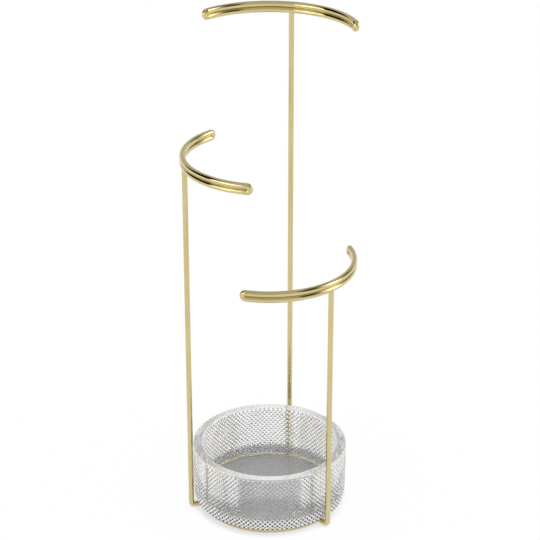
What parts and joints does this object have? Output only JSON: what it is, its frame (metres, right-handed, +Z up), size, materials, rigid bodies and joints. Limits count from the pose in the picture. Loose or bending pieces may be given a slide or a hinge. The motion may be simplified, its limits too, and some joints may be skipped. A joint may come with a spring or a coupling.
{
  "type": "jewelry stand",
  "caption": "Table jewelry stand: a clear diamond-cut round tray on a hoop base, ringed by brass rods that carry curved double-rail hangers at stepped heights.",
  "frame": {"origin": "on the table under the middle of the tray, where the tray's axis meets the base ring's underside", "axes": "+Z up along the tray's axis; +Y towards the tallest post; the middle post stands 120 degrees on, to the left, and the shortest to the right"},
  "size_m": [0.1512, 0.1512, 0.4455],
  "materials": {
    "brass": "bright brass plating with a clear lacquer",
    "clear_glass": "polished clear pressed glass, diamond-cut outside",
    "card": "plain grey board",
    "grey_linen": "plain woven grey linen"
  },
  "bodies": {
    "frame": {"base_ring": "brass", "post_back": "brass", "post_left": "brass", "post_right": "brass", "hanger_back": "brass", "hanger_left": "brass", "hanger_right": "brass", "pad_board": "card", "pad_cloth": "grey_linen"},
    "tray": {"tray": "clear_glass"}
  },
  "joints": [
    {"name": "tray_lift", "type": "slide", "parent": "frame", "child": "tray", "axis": [0, 0, 1], "range_m": [0, 0.45]}
  ]
}
